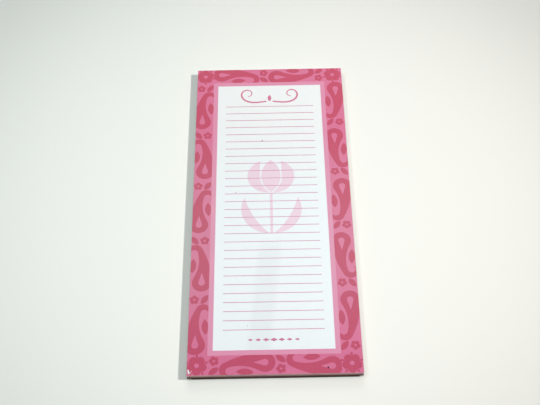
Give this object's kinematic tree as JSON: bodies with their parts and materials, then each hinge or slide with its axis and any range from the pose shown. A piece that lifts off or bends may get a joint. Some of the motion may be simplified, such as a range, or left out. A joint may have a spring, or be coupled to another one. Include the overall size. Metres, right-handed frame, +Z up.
{
  "type": "magnetic notepad",
  "caption": "Tall narrow list pad: ruled sheets in a patterned pink border, glued along the head to a chipboard back, with a flexible magnet sheet behind.",
  "frame": {"origin": "under the middle of the pad, on the surface it lies on", "axes": "+Z up from the magnet's back to the printed face, +Y towards the glued head, +X towards the reader's right"},
  "size_m": [0.0952, 0.216, 0.006],
  "materials": {
    "flexible_magnet": "matt dark brown filled rubber",
    "clear_adhesive": "thin clear film of pressure-sensitive adhesive",
    "chipboard": "grey-brown recycled chipboard with flecks",
    "paper": "uncoated smooth white paper",
    "padding_glue": "white flexible padding glue, satin",
    "pink_ink": "mid pink offset ink",
    "rose_ink": "dark rose offset ink",
    "pale_pink_ink": "pale pink offset ink",
    "blush_ink": "very pale pink tint",
    "line_ink": "thin rose pink lines"
  },
  "bodies": {
    "root": {"magnet": "flexible_magnet", "adhesive_film": "clear_adhesive", "backing_board": "chipboard", "page_block": "paper", "glue_film": "padding_glue", "print_ground": "pink_ink", "print_paisleys": "rose_ink", "print_frame": "pale_pink_ink", "print_tulip": "blush_ink", "print_rules": "line_ink", "print_flourish": "rose_ink", "print_lozenges": "rose_ink"}
  },
  "joints": []
}
